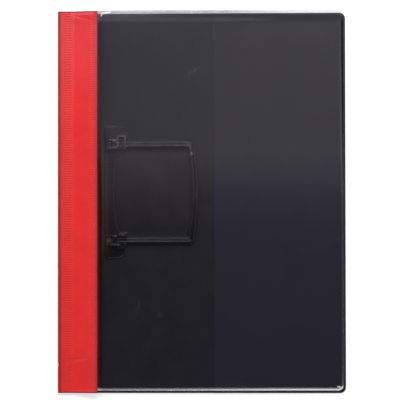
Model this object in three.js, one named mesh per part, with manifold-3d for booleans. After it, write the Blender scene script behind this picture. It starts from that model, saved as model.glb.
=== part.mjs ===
// A4 clip folder lying on its back: black rear cover, clear front sheet, red spine strip
// and a clip whose bail swings up from two posts. Millimetres: X runs across the covers
// from the spine to the free edge, Y along the spine, Z up towards the reader.

import * as THREE from "three";
import { mergeVertices } from "three/addons/utils/BufferGeometryUtils.js";
import Module from "manifold-3d";

const wasm = await Module();
wasm.setup();

// Covers
const folderWidth = 241;
const coverHeight = 318;
const frontSlip = 2;
const frontShortfall = 1.5;
const cornerRadius = 5;
const rearThickness = 1;
const filmThickness = 0.5;
const rimWidth = 2.4;
const rimProud = 0.4;
const sheetGap = 0.3;

// Inner pocket on the rear cover
const pocketWidth = 109;
const pocketInset = 1;
const pocketThickness = 0.4;
const pocketRimProud = 0.3;

// Spine strip
const bandWidth = 33.5;
const stripThickness = 0.6;
const hingeX = 14;
const hingeGap = 0.3;
const foldClearance = 0.5;
const leftSeamStart = 5.8;
const leftSeamWidth = 6.7;
const rightSeamWidth = 6.7;
const rightSeamMargin = 0.9;
const rearLapMargin = 0.5;
const coverStepRun = 2.7;
const ribPitch = 2;
const ribHeight = 0.3;
const flapLift = 4.8;

// Clip base
const clipOffsetY = 8;
const clipLength = 110.4;
const baseLeft = 39.3;
const baseThickness = 1.6;
const barWidth = 7.7;
const lobeReach = 18.5;
const lobeCorner = 8.4;
const lobeSpineCorner = 3.4;
const lobeShoulder = 16.8;
const lobeNeck = 23.9;
const lobeNeckReach = 11.8;
const lobeRoot = 38.2;
const lobeRootReach = 8.8;
const studRadius = 1.5;
const studClearance = 0.3;
const studRecess = 0.2;
const studEndInset = 6;
const baseBevel = 0.4;
const rungPitch = 2.6;
const rungWidth = 1;
const rungDepth = 0.7;
const ladderWidth = 3.6;
const ladderLength = 60;

// Posts and the pins that carry the bail
const postSpacing = 80;
const postInset = 4.2;
const lugWidthY = 4;
const lugRadius = 2.2;
const pinRadius = 0.9;
const pinClearance = 0.25;
const pinHeadRadius = 1.5;
const pinHeadThickness = 0.7;
const pinCrown = 0.6;
const pivotHeight = 3;

// Bail
const bailReach = 74;
const bailBow = 3.2;
const armWidth = 3.6;
const armHeight = 3.2;
const armDrop = 0.2;
const crossbarWidth = 3.8;
const bailCorner = 3.4;
const bailBevel = 0.5;
const grooveInset = 1.1;
const grooveDepth = 0.6;
const headRadius = 2.6;
const headWidthY = 8.4;
const headLength = 6.2;
const runningGap = 0.3;
const slotRelief = 0.4;

// Saddles that hold the arms down on the lobes, each with a hollow block on its outer side
const saddleStart = 7.4;
const saddleLength = 6.7;
const saddleWidthY = 7.1;
const saddleHeight = 3.7;
const saddlePad = 0.9;
const blockReach = 7;
const blockWall = 1;
const blockHollow = 1.6;

// How far the clear sheet stays above the clip, and how it runs down to the free edge
const domeClearance = 0.4;
const restLift = 0.9;
const domeShare = 0.3;
const slopeMiddle = 0.52;
const slopeMiddleLift = 4.9;
const curveSteps = 40;

// How far a cutting solid runs past the faces that it cuts
const overcut = 2;

// Heights of the layers, from the surface the folder lies on
const totalHeight = coverHeight + frontSlip;
const rearCentreY = -frontSlip / 2;
const frontCentreY = frontSlip / 2;
const lapUnder = stripThickness + sheetGap;
const lapTop = lapUnder + rearThickness;
const stripUnder = lapTop + sheetGap;
const stripTop = stripUnder + stripThickness;
const baseUnder = rearThickness + sheetGap;
const baseTop = baseUnder + baseThickness;
const pivotX = baseLeft + postInset;
const pivotZ = baseTop + pivotHeight;
const armCentreZ = pivotZ - armDrop;
const clipTop = pivotZ + headRadius;
const bailEnd = pivotX + bailReach;
const postYs = [clipOffsetY + postSpacing / 2, clipOffsetY - postSpacing / 2];
const frontRight = folderWidth - frontShortfall;
const flapRun = bandWidth - hingeX;
const flapSlope = Math.atan2(flapLift, flapRun);
const flapLength = flapRun / Math.cos(flapSlope);
const filmLeft = bandWidth - rightSeamMargin - rightSeamWidth;

// Solids for joining and cutting
function toSolid(geometry) {
  const bare = geometry.clone();
  bare.deleteAttribute("normal");
  bare.deleteAttribute("uv");
  const merged = mergeVertices(bare, 1e-4);
  const mesh = new wasm.Mesh({
    numProp: 3,
    vertProperties: new Float32Array(merged.attributes.position.array),
    triVerts: new Uint32Array(merged.index.array),
  });
  return new wasm.Manifold(mesh);
}

function toGeometry(solid) {
  const mesh = solid.getMesh();
  const geometry = new THREE.BufferGeometry();
  geometry.setAttribute("position", new THREE.BufferAttribute(mesh.vertProperties, 3));
  geometry.setIndex(new THREE.BufferAttribute(mesh.triVerts, 1));
  geometry.computeVertexNormals();
  return geometry;
}

// A side profile, drawn in X and Z, carried along Y
function alongY(shape, length, centreY, curveSegments = 12) {
  const geometry = new THREE.ExtrudeGeometry(shape, {
    depth: length,
    bevelEnabled: false,
    curveSegments,
  });
  geometry.translate(0, 0, -length / 2);
  geometry.rotateX(Math.PI / 2);
  geometry.translate(0, centreY, 0);
  return geometry;
}

// A plan outline, drawn in X and Y, raised along Z
function upwards(shape, bottom, height, bevel = 0, curveSegments = 6) {
  const geometry = new THREE.ExtrudeGeometry(shape, {
    depth: height - 2 * bevel,
    bevelEnabled: bevel > 0,
    bevelThickness: bevel,
    bevelSize: bevel,
    bevelOffset: -bevel,
    bevelSegments: 1,
    curveSegments,
  });
  geometry.translate(0, 0, bottom + bevel);
  return geometry;
}

// A front profile, drawn in Y and Z, carried along X
function alongX(shape, start, length) {
  const geometry = new THREE.ExtrudeGeometry(shape, { depth: length, bevelEnabled: false });
  geometry.rotateX(Math.PI / 2);
  geometry.rotateZ(Math.PI / 2);
  geometry.translate(start, 0, 0);
  return geometry;
}

function shapeThrough(points) {
  return new THREE.Shape(points.map(([u, v]) => new THREE.Vector2(u, v)));
}

function rectangle(left, right, low, high) {
  return shapeThrough([[left, low], [right, low], [right, high], [left, high]]);
}

// Cover outline: square at the spine, rounded at the two free corners
function coverOutline(left, right, centreY, height, radius) {
  const low = centreY - height / 2;
  const high = centreY + height / 2;
  const shape = new THREE.Shape();
  shape.moveTo(left, low);
  shape.lineTo(right - radius, low);
  shape.absarc(right - radius, low + radius, radius, -Math.PI / 2, 0, false);
  shape.absarc(right - radius, high - radius, radius, 0, Math.PI / 2, false);
  shape.lineTo(left, high);
  return shape;
}

// Band of cover along its top, free and bottom edges
function rimBand(left, right, centreY, height, low, tall) {
  const outer = coverOutline(left, right, centreY, height, cornerRadius);
  const innerHeight = height - 2 * rimWidth;
  const inner = coverOutline(
    left - rimWidth, right - rimWidth, centreY, innerHeight, cornerRadius - rimWidth);
  const hole = toSolid(upwards(inner, low - overcut, tall + 2 * overcut));
  return toSolid(upwards(outer, low, tall)).subtract(hole);
}

// Fine ribs of a welded seam, running along X and repeated along Y
function seamRibs(start, width, baseZ, height, centreY, length) {
  const count = Math.floor((length - ribPitch) / ribPitch);
  const first = centreY - (count * ribPitch) / 2;
  const shape = new THREE.Shape();
  shape.moveTo(first, baseZ - stripThickness / 2);
  for (let rib = 0; rib < count; rib += 1) {
    const y = first + rib * ribPitch;
    shape.lineTo(y, baseZ);
    shape.lineTo(y + ribPitch / 2, baseZ + height);
  }
  shape.lineTo(first + count * ribPitch, baseZ);
  shape.lineTo(first + count * ribPitch, baseZ - stripThickness / 2);
  return toSolid(alongX(shape, start, width));
}

// Underside of the clear sheet: straight below the flap, then over the clip and down
const underFlap = stripUnder - (filmThickness + sheetGap) / Math.cos(flapSlope);
const sheetCurve = new THREE.CatmullRomCurve3([
  new THREE.Vector3(bandWidth, underFlap + flapLift, 0),
  new THREE.Vector3(pivotX, clipTop + domeClearance, 0),
  new THREE.Vector3(pivotX + (bailEnd - pivotX) * domeShare, clipTop + domeClearance, 0),
  new THREE.Vector3(bailEnd, armCentreZ + armHeight / 2 + 2 * domeClearance, 0),
  new THREE.Vector3(
    bailEnd + (frontRight - bailEnd) * slopeMiddle, slopeMiddleLift, 0),
  new THREE.Vector3(frontRight, baseUnder + pocketThickness + pocketRimProud + restLift, 0),
], false, "centripetal");

function sheetProfile(thickness) {
  const under = [new THREE.Vector2(filmLeft, underFlap + (filmLeft - hingeX) * Math.tan(flapSlope))];
  for (const point of sheetCurve.getPoints(curveSteps)) {
    under.push(new THREE.Vector2(point.x, point.y));
  }
  const over = under.map((point, index) => {
    const before = under[Math.max(index - 1, 0)];
    const after = under[Math.min(index + 1, under.length - 1)];
    const along = after.clone().sub(before).normalize();
    return new THREE.Vector2(point.x - along.y * thickness, point.y + along.x * thickness);
  });
  return new THREE.Shape([...under, ...over.reverse()]);
}

function frontSheet() {
  const tall = clipTop + 2 * overcut;
  const film = toSolid(alongY(sheetProfile(filmThickness), coverHeight + overcut, frontCentreY));
  const rim = toSolid(alongY(sheetProfile(filmThickness + rimProud), coverHeight + overcut, frontCentreY));
  const plan = coverOutline(0, frontRight, frontCentreY, coverHeight, cornerRadius);
  const clearOfBand = toSolid(upwards(
    rectangle(bandWidth + sheetGap, folderWidth, -totalHeight, totalHeight), 0, tall));
  const band = rimBand(0, frontRight, frontCentreY, coverHeight, 0, tall).intersect(clearOfBand);
  return toGeometry(film.intersect(toSolid(upwards(plan, 0, tall))).add(rim.intersect(band)));
}

// Rear cover: steps up at the spine so that the strip can wrap under its edge
function rearCover() {
  const lapEnd = hingeX + rearLapMargin;
  const left = stripThickness + foldClearance + sheetGap;
  const profile = shapeThrough([
    [left, lapUnder],
    [lapEnd, lapUnder],
    [lapEnd + coverStepRun, 0],
    [folderWidth, 0],
    [folderWidth, rearThickness],
    [lapEnd + coverStepRun, rearThickness],
    [lapEnd, lapTop],
    [left, lapTop],
  ]);
  const plate = toSolid(alongY(profile, coverHeight + overcut, rearCentreY));
  const plan = coverOutline(0, folderWidth, rearCentreY, coverHeight, cornerRadius);
  let cover = plate.intersect(toSolid(upwards(plan, -overcut, lapTop + 2 * overcut)));
  for (const y of studYs()) {
    cover = cover.subtract(studSolid(y, studRadius + studClearance, -overcut, lapTop + 2 * overcut));
  }
  return toGeometry(cover);
}

function pocket() {
  const right = folderWidth - pocketInset;
  const left = right - pocketWidth;
  const height = coverHeight - 2 * pocketInset;
  const plan = coverOutline(left, right, rearCentreY, height, cornerRadius);
  const film = toSolid(upwards(plan, baseUnder, pocketThickness));
  const thickness = pocketThickness + pocketRimProud;
  return toGeometry(film.add(rimBand(left, right, rearCentreY, height, baseUnder, thickness)));
}

// Spine strip: under the rear cover, round the fold and back over it as far as the hinge
function spineStrip() {
  const outer = stripTop / 2;
  const inner = outer - stripThickness;
  const lapEnd = hingeX - rearLapMargin;
  const shape = new THREE.Shape();
  shape.moveTo(lapEnd, 0);
  shape.lineTo(lapEnd, stripThickness);
  shape.lineTo(outer, stripThickness);
  shape.absarc(outer, outer, inner, -Math.PI / 2, Math.PI / 2, true);
  shape.lineTo(hingeX, stripUnder);
  shape.lineTo(hingeX, stripTop);
  shape.lineTo(outer, stripTop);
  shape.absarc(outer, outer, outer, Math.PI / 2, -Math.PI / 2, false);
  const strip = toSolid(alongY(shape, totalHeight, 0, 10));
  const ribs = seamRibs(leftSeamStart, leftSeamWidth, stripTop, ribHeight, 0, totalHeight);
  return toGeometry(strip.add(ribs));
}

// Loose part of the strip, drawn flat from the hinge line; its group tilts it
function spineFlap() {
  const plate = toSolid(upwards(
    rectangle(hingeGap, flapLength, -totalHeight / 2, totalHeight / 2), 0, stripThickness));
  const seamStart = flapLength - rightSeamMargin - rightSeamWidth;
  const ribs = seamRibs(seamStart, rightSeamWidth, stripThickness, ribHeight, 0, totalHeight);
  return toGeometry(plate.add(ribs));
}

// Clip base outline: a narrow bar that widens in a hollow curve into two end lobes
function baseOutline() {
  const half = clipLength / 2;
  const shape = new THREE.Shape();
  const side = (end) => ({
    end: end * half,
    corner: end * (half - lobeCorner),
    shoulder: end * (half - lobeShoulder),
    neck: end * (half - lobeNeck),
    root: end * (half - lobeRoot),
  });
  const low = side(-1);
  const high = side(1);
  const lobeEdge = baseLeft + lobeReach;
  shape.moveTo(baseLeft, low.end + lobeSpineCorner);
  shape.absarc(baseLeft + lobeSpineCorner, low.end + lobeSpineCorner, lobeSpineCorner,
    Math.PI, 1.5 * Math.PI, false);
  shape.absarc(lobeEdge - lobeCorner, low.corner, lobeCorner, -Math.PI / 2, 0, false);
  shape.lineTo(lobeEdge, low.shoulder);
  shape.lineTo(baseLeft + lobeNeckReach, low.neck);
  shape.quadraticCurveTo(baseLeft + lobeRootReach, (low.neck + low.root) / 2,
    baseLeft + lobeRootReach, low.root);
  shape.quadraticCurveTo(baseLeft + barWidth, low.root / 2, baseLeft + barWidth, 0);
  shape.quadraticCurveTo(baseLeft + barWidth, high.root / 2, baseLeft + lobeRootReach, high.root);
  shape.quadraticCurveTo(baseLeft + lobeRootReach, (high.neck + high.root) / 2,
    baseLeft + lobeNeckReach, high.neck);
  shape.lineTo(lobeEdge, high.shoulder);
  shape.absarc(lobeEdge - lobeCorner, high.corner, lobeCorner, 0, Math.PI / 2, false);
  shape.absarc(baseLeft + lobeSpineCorner, high.end - lobeSpineCorner, lobeSpineCorner,
    Math.PI / 2, Math.PI, false);
  return shape;
}

function studYs() {
  return [-1, 0, 1].map((side) => clipOffsetY + side * (clipLength / 2 - studEndInset));
}

function studSolid(y, radius, bottom, height) {
  const stud = new THREE.CylinderGeometry(radius, radius, height, 16);
  stud.rotateX(Math.PI / 2);
  stud.translate(baseLeft + barWidth / 2, y, bottom + height / 2);
  return toSolid(stud);
}

// Round bar along Y
function cylinderAlongY(radius, length, x, y, z, sides = 16) {
  const bar = new THREE.CylinderGeometry(radius, radius, length, sides);
  bar.translate(x, y, z);
  return toSolid(bar);
}

// Post: a flat-sided column with a round eye for the pin at its top
function postSolid(y) {
  const shape = new THREE.Shape();
  shape.moveTo(pivotX - lugRadius, baseTop - baseThickness / 2);
  shape.lineTo(pivotX + lugRadius, baseTop - baseThickness / 2);
  shape.absarc(pivotX, pivotZ, lugRadius, 0, Math.PI, false);
  const column = toSolid(alongY(shape, lugWidthY, y, 8));
  const eye = cylinderAlongY(pinRadius + pinClearance, lugWidthY + overcut, pivotX, y, pivotZ);
  return column.subtract(eye);
}

// Saddle: two cheeks and a pad that take the arm of the bail from above. The outer cheek
// is a block, hollow from the top
function saddleSolid(y) {
  const left = baseLeft + lobeReach - saddleStart;
  const outward = Math.sign(y - clipOffsetY);
  const sides = [y - outward * (saddleWidthY / 2), y + outward * blockReach];
  const low = Math.min(...sides);
  const high = Math.max(...sides);
  const halfSlot = armWidth / 2 + runningGap;
  const top = baseTop + saddleHeight;
  const shape = shapeThrough([
    [low, baseTop - baseThickness / 2],
    [high, baseTop - baseThickness / 2],
    [high, top],
    [y + halfSlot, top],
    [y + halfSlot, baseTop + saddlePad],
    [y - halfSlot, baseTop + saddlePad],
    [y - halfSlot, top],
    [low, top],
  ]);
  const walls = [y + outward * (halfSlot + blockWall), y + outward * (blockReach - blockWall)];
  const hollow = upwards(
    rectangle(left + blockWall, left + saddleLength - blockWall, Math.min(...walls), Math.max(...walls)),
    top - blockHollow, 2 * blockHollow);
  return toSolid(alongX(shape, left, saddleLength)).subtract(toSolid(hollow));
}

// Cells moulded into the bar, which leave rungs between them like a ladder
function ladderCells() {
  const count = Math.floor(ladderLength / rungPitch);
  const left = baseLeft + (barWidth - ladderWidth) / 2;
  const cells = [];
  for (let cell = 0; cell < count; cell += 1) {
    const low = clipOffsetY + (cell - count / 2) * rungPitch + rungWidth / 2;
    const plan = rectangle(left, left + ladderWidth, low, low + rungPitch - rungWidth);
    cells.push(toSolid(upwards(plan, baseTop - rungDepth, 2 * rungDepth)));
  }
  return wasm.Manifold.union(cells);
}

function clipBase() {
  const plate = upwards(baseOutline(), baseUnder, baseThickness, baseBevel, 6);
  plate.translate(0, clipOffsetY, 0);
  let base = toSolid(plate);
  for (const y of postYs) {
    base = base.add(postSolid(y)).add(saddleSolid(y));
  }
  for (const y of studYs()) {
    base = base.add(studSolid(y, studRadius, studRecess, baseTop - studRecess - rungDepth));
  }
  return toGeometry(base.subtract(ladderCells()));
}

// Bail outline in plan, as a loop that is open towards the spine, or a groove inset in it
function bailOutline(start, inset) {
  const arm = armWidth / 2 - inset;
  const outer = postSpacing / 2 + arm;
  const inner = postSpacing / 2 - arm;
  const outerCorner = bailCorner - inset;
  const innerCorner = bailCorner / 2 + inset;
  const outerEnd = bailEnd - bailBow - inset;
  const innerEnd = bailEnd - bailBow - crossbarWidth + inset;
  const shape = new THREE.Shape();
  shape.moveTo(start, -outer);
  shape.lineTo(outerEnd - outerCorner, -outer);
  shape.absarc(outerEnd - outerCorner, -outer + outerCorner, outerCorner, -Math.PI / 2, 0, false);
  shape.quadraticCurveTo(outerEnd + 2 * bailBow, 0, outerEnd, outer - outerCorner);
  shape.absarc(outerEnd - outerCorner, outer - outerCorner, outerCorner, 0, Math.PI / 2, false);
  shape.lineTo(start, outer);
  shape.lineTo(start, inner);
  shape.lineTo(innerEnd - innerCorner, inner);
  shape.absarc(innerEnd - innerCorner, inner - innerCorner, innerCorner, Math.PI / 2, 0, true);
  shape.quadraticCurveTo(innerEnd + 2 * bailBow, 0, innerEnd, -inner + innerCorner);
  shape.absarc(innerEnd - innerCorner, -inner + innerCorner, innerCorner, 0, -Math.PI / 2, true);
  shape.lineTo(start, -inner);
  return shape;
}

// Forked head of an arm: round at the pin, slotted for the post, tapering into the arm
function headSolid(y) {
  const armLow = armCentreZ - armHeight / 2;
  const armHigh = armCentreZ + armHeight / 2;
  const shape = new THREE.Shape();
  shape.moveTo(pivotX, pivotZ - headRadius);
  shape.lineTo(pivotX + headLength, armLow);
  shape.lineTo(pivotX + headLength, armHigh);
  shape.lineTo(pivotX, pivotZ + headRadius);
  shape.absarc(pivotX, pivotZ, headRadius, Math.PI / 2, 1.5 * Math.PI, false);
  const block = toSolid(alongY(shape, headWidthY, y, 8));
  const slotEnd = pivotX + lugRadius + slotRelief;
  const slot = toSolid(alongY(
    rectangle(pivotX - 2 * headRadius, slotEnd, 0, 2 * pivotZ), lugWidthY + 2 * runningGap, y));
  const eye = cylinderAlongY(pinRadius + pinClearance, headWidthY + overcut, pivotX, y, pivotZ);
  return block.subtract(slot).subtract(eye);
}

function clipBail() {
  const armTop = armCentreZ + armHeight / 2;
  const loop = bailOutline(pivotX + headRadius + runningGap, 0);
  const grooveLoop = bailOutline(pivotX + headLength + grooveInset, grooveInset);
  const frame = upwards(loop, armTop - armHeight, armHeight, bailBevel, 6);
  const groove = upwards(grooveLoop, armTop - grooveDepth, 2 * grooveDepth, 0, 6);
  let bail = toSolid(frame).subtract(toSolid(groove)).translate([0, clipOffsetY, 0]);
  for (const y of postYs) {
    bail = bail.add(headSolid(y));
  }
  return toGeometry(bail);
}

// Pin turned from the axis outwards: shank first, then a low round head
function pinGeometry() {
  const shank = headWidthY + runningGap;
  const profile = [
    [0, 0],
    [pinRadius, 0],
    [pinRadius, shank],
    [pinHeadRadius, shank],
    [pinHeadRadius, shank + pinHeadThickness * pinCrown],
    [pinHeadRadius * pinCrown, shank + pinHeadThickness],
    [0, shank + pinHeadThickness],
  ];
  return new THREE.LatheGeometry(profile.map(([r, h]) => new THREE.Vector2(r, h)), 16);
}

// Materials
function material(color, roughness, metalness = 0, opacity = 1) {
  return new THREE.MeshStandardMaterial({
    color,
    roughness,
    metalness,
    opacity,
    transparent: opacity < 1,
  });
}

const redVinyl = material(0xd63a38, 0.38);
const blackVinyl = material(0x2a2b2d, 0.42);
const clearFilm = material(0xdfe4e6, 0.12, 0, 0.3);
const blackPlastic = material(0x1c1d1f, 0.32);

// Assembly
function named(name, geometry, finish) {
  const mesh = new THREE.Mesh(geometry, finish);
  mesh.name = name;
  return mesh;
}

const folder = new THREE.Group();
folder.position.x = -folderWidth / 2;

folder.add(named("rear_cover", rearCover(), blackVinyl));
folder.add(named("inner_pocket", pocket(), clearFilm));
folder.add(named("spine_strip", spineStrip(), redVinyl));

const flapGroup = new THREE.Group();
flapGroup.position.set(hingeX, 0, stripUnder);
flapGroup.rotation.y = -flapSlope;
flapGroup.add(named("spine_flap", spineFlap(), redVinyl));
folder.add(flapGroup);

folder.add(named("front_sheet", frontSheet(), clearFilm));
folder.add(named("clip_base", clipBase(), blackPlastic));
folder.add(named("clip_bail", clipBail(), blackPlastic));

const pinNames = ["bail_pin_upper", "bail_pin_lower"];
postYs.forEach((y, index) => {
  const pin = named(pinNames[index], pinGeometry(), blackPlastic);
  const outward = Math.sign(y - clipOffsetY);
  pin.position.set(pivotX, y - outward * (headWidthY / 2), pivotZ);
  pin.rotation.x = outward > 0 ? 0 : Math.PI;
  folder.add(pin);
});

export default folder;
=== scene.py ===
import math

import bmesh
import bpy
import numpy as np
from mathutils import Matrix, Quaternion, Vector
from mathutils.bvhtree import BVHTree


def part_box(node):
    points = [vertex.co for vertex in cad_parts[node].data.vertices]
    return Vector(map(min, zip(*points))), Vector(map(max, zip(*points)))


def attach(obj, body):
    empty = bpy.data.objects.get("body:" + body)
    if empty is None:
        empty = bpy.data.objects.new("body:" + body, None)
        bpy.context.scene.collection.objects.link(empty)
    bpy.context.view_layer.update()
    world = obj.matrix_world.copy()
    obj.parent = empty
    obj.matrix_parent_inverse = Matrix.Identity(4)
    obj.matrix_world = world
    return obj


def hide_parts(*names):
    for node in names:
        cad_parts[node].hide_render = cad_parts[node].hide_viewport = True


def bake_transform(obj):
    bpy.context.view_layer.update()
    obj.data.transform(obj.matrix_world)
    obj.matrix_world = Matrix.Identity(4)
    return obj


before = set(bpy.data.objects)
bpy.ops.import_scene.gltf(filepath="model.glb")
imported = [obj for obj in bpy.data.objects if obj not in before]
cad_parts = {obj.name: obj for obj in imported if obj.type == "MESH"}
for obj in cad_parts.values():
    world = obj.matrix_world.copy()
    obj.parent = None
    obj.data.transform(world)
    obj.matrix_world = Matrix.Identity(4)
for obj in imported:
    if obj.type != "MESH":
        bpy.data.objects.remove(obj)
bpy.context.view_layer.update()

MM = 0.001

# Edges of the CAD nodes that the pieces here are built to
STRIP_LOW, STRIP_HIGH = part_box("spine_strip")
FLAP_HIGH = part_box("spine_flap")[1]
SHEET_LOW, SHEET_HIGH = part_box("front_sheet")
SHEET_MIDDLE = (SHEET_LOW.y + SHEET_HIGH.y) / 2
SHEET_HALF = (SHEET_HIGH.y - SHEET_LOW.y) / 2

# Photograph: its pixels a side, the size of one on the folder, the column of the folder's spine
# edge and the row of its middle
FRAME_PIXELS = 400
PIXEL = 0.8386 * MM
SPINE_COLUMN = 57.2
MIDDLE_ROW = 201.5

# Camera: high above the folder, a little to the right and the front of what it looks at. Its
# pixel is measured on the floor.
VIEW_PIXEL = 0.8369 * MM
VIEW_CENTRE = (-1.25 * MM, 1.4 * MM)
VIEW_TILT = math.radians(-0.1)
CAMERA_HEIGHT = 2.2
CAMERA_OFFSET = (0.086, -0.057)
SENSOR_WIDTH = 36
FAR_CLIP = 20

# Softboxes: place, aim and size in metres, and power in watts
SOFTBOXES = {
    "head_softbox": ((0.1, 0.62, 0.85), (0, 0.05, 0), (1.0, 0.5), 10.5),
    "foot_softbox": ((0.2, -1.1, 0.5), (0, 0, 0), (1.2, 0.4), 7.0),
}

# Room: its light at the horizon and overhead, and how steeply one looks up where it starts to
# change and where it has changed, as the height of a direction 1 long
ROOM_LIGHT = (1.0, 0.05)
ROOM_HEIGHTS = (0.35, 0.8)

# Floor: half its width, how far it lies below the folder, its grey and its own faint light
FLOOR_HALF = 1.5
FLOOR_DROP = 0.05 * MM
FLOOR_GREY = 0.74
FLOOR_GLOW = 0.4

# Colours of the vinyls and of the plastic, darker ones first
REDS = ((0.66, 0.0155, 0.0175), (0.73, 0.0195, 0.0185))
# Paler red that the strip's painted highlights and painted sheen are mixed towards
HIGHLIGHT_RED = (0.85, 0.2, 0.3)
VINYL_BLACKS = ((0.003, 0.003, 0.004), (0.006, 0.006, 0.0075))
# Blacks of the plastic, the darker one towards the foot as painted shade
PLASTIC_BLACKS = ((0.002, 0.002, 0.003), (0.014, 0.013, 0.015))
# Blues of the pocket from foot to head, paler towards the head as painted light
POCKET_BLUES = ((0.056, 0.054, 0.09), (0.073, 0.07, 0.13), (0.1, 0.096, 0.1))
VINYL_IOR = 1.53

# Places along the folder between which the plastic's painted shade changes
PLASTIC_SHADE_FALL = (-38 * MM, 52 * MM)

# Red strip: its sheet, the height of the CAD ribs above it, and its ribbed weld seams. Distances
# across it are taken from the spine edge, or from the free edge for the right seam.
STRIP_THICKNESS = 0.6 * MM
RIB_HEIGHT = 0.3 * MM
RIB_RELIEF = 0.14 * MM
FLAP_RIB_RELIEF = 0.24 * MM
RIB_PITCH = 2 * MM
RIB_ROWS = 5
RIB_FADE = 0.5 * MM
RIB_VALLEY = 0.35
RIB_FLANK = (0.15, 0.85)
LEFT_SEAM = (5.8 * MM, 12.5 * MM)
RIGHT_SEAM_MARGIN = 0.9 * MM
RIGHT_SEAM_WIDTH = 6.7 * MM
RIGHT_SEAM_PHASE = 0.35
SPLIT_DEPTH = 0.9
SPLIT_WIDTH = 0.35 * MM

# Points of the strip's section: how many lie under the rear cover, round the fold and over each
# seam, the first one of its top side, and the places of those on its flat and its free part
BACK_POINTS = 6
FOLD_POINTS = 10
TOP_START = 13
LEFT_SEAM_POINTS = 9
RIGHT_SEAM_POINTS = 11
BACK_MARGIN = 0.5 * MM
FLAT_MARGIN = 0.6 * MM
LEFT_SEAM_LEAD = 0.25 * MM
SEAM_GAP = 0.3 * MM
FLAT_STOPS = (2.2 * MM, 3.2 * MM, 4.3 * MM)
FLAP_STOPS = (0.0, 0.5 * MM, 1.2 * MM, 2.5 * MM, 4.5 * MM, 7 * MM, 9.5 * MM)

# Slack of the strip between its seams: depth, middle and reach across it, and the wave along it
# as its mean, its swing, its radians a metre and its start
SLACK_DEPTH = 0.25 * MM
SLACK_MIDDLE = 19 * MM
SLACK_REACH = 4 * MM
SLACK_WAVE = (0.6, 0.4, 37.0, 0.8)

# Nick in the spine fold: its pixel in the photograph, its depth and its reach across and along
NICK_PIXEL = (58, 364)
NICK_DEPTH = 0.4 * MM
NICK_REACH = (1.5 * MM, 1.3 * MM)

# Dents of the strip, as a fold mark at the head and creases near the foot: depth, distance from
# that end, slope, width, and middle and reach across the strip. DENT_START is the distance from
# the spine edge at which a sloping dent has its stated distance from the end.
HEAD_DENTS = ((0.5 * MM, 3.5 * MM, 0.25, 1.2 * MM, 20 * MM, 6 * MM),)
FOOT_DENTS = (
    (0.16 * MM, 34 * MM, -0.5, 1.0 * MM, 18 * MM, 4 * MM),
    (0.14 * MM, 52 * MM, 0.3, 1.2 * MM, 20 * MM, 4 * MM),
)
DENT_START = 14 * MM

# Painted shade at the edges of the strip: the light left there and the distances between which it fades
FOLD_SHADE = (0.36, 0.4 * MM, 4.2 * MM)
FREE_SHADE = (0.4, -0.5 * MM, 4.2 * MM)
HEAD_SHADE = (0.36, 0.4 * MM, 1.5 * MM)
FOOT_SHADE = (0.3, 0.3 * MM, 1.3 * MM)

# Painted shade over the ends, the left seam and the left part of the strip: how much darker each
# is, and where. The left part begins over LEFT_PART from the spine edge.
ENDS_SHADE = (0.05, 0.1, 0.155)
LEFT_SEAM_SHADE = (0.06, 9.1 * MM, 3.4 * MM)
LEFT_PART_SHADE = 0.07
LEFT_PART = (14 * MM, 11.5 * MM)

# Painted sheen towards the head of the strip: its strength and where it grows, and how much it
# fades at the head's edge and over the left part. Then the painted highlight on the free edge.
HEAD_SHEEN = (0.07, 0.06, 0.14)
HEAD_SHEEN_FADE = (0.6, 12 * MM, 5 * MM)
FREE_EDGE_HIGHLIGHT = (0.05, 1.2 * MM, 2 * MM)

# Marks, here and below: pixels of the photograph that each runs through, its strength and its
# width. First the painted shadows of the strip's creases, then painted highlights on its bends and
# creases.
CREASE_SHADOWS = (
    (((69, 357.8), (83, 357.3)), 0.08, 0.8 * MM),
    (((71, 24), (80, 20), (94, 16)), 0.07, 2.4 * MM),
)
HIGHLIGHT_LINES = (
    (((71, 13.1), (80, 13.5), (93, 12.8)), 0.32, 0.9 * MM),
    (((74, 361), (79, 359.9), (85, 359.2)), 0.09, 0.9 * MM),
    (((71, 389.8), (92, 389.6)), 0.1, 0.5 * MM),
)

# Clear front sheet: it is thinner over EDGE_REACH from its edge
FILM_THICKNESS = 0.5 * MM
FILM_CORNER = 5 * MM
FILM_COVER = 0.14
EDGE_SHARE = 0.35
EDGE_REACH = 0.5 * MM

# Bead of the sheet's weld: it grows beside the strip over RIM_START, and lies in from the edge
# by RIM_INSETS at places along the sheet, from its foot (0) to its head (1). Within HEAD_REACH
# of the head it lies in by HEAD_INSETS instead, at the strip and at the free edge. The dark
# margin outside it fades over MARGIN_FADE.
FILM_RIM_WIDTH = 3.0 * MM
FILM_RIM_PROUD = 0.4 * MM
RIM_START = (0.1 * MM, 2.5 * MM)
RIM_STOPS = (0.3, 0.5, 0.8, 0.92)
RIM_INSETS = (0.0, 0.4 * MM, 1.7 * MM, 2.0 * MM)
HEAD_REACH = (9 * MM, 5 * MM)
HEAD_INSETS = (0.2 * MM, 1.0 * MM)
MARGIN_FADE = 0.3 * MM

# Faces of the sheet: how far across the bead they still count as bead, and the hem's width
BEAD_SHARE = 0.95
HEM_WIDTH = 2.5 * MM

# Looseness of the sheet: its depth, the distances from the spine and from the free edge over
# which it comes and goes, and its waves, each with radians a metre in X and Y and a start
LOOSE_DEPTH = 0.45 * MM
LOOSE_START = (95 * MM, 125 * MM)
LOOSE_END = (60 * MM, 10 * MM)
LOOSE_WAVES = ((41, 13, 0.4), (17, -29, 1.9))

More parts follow.
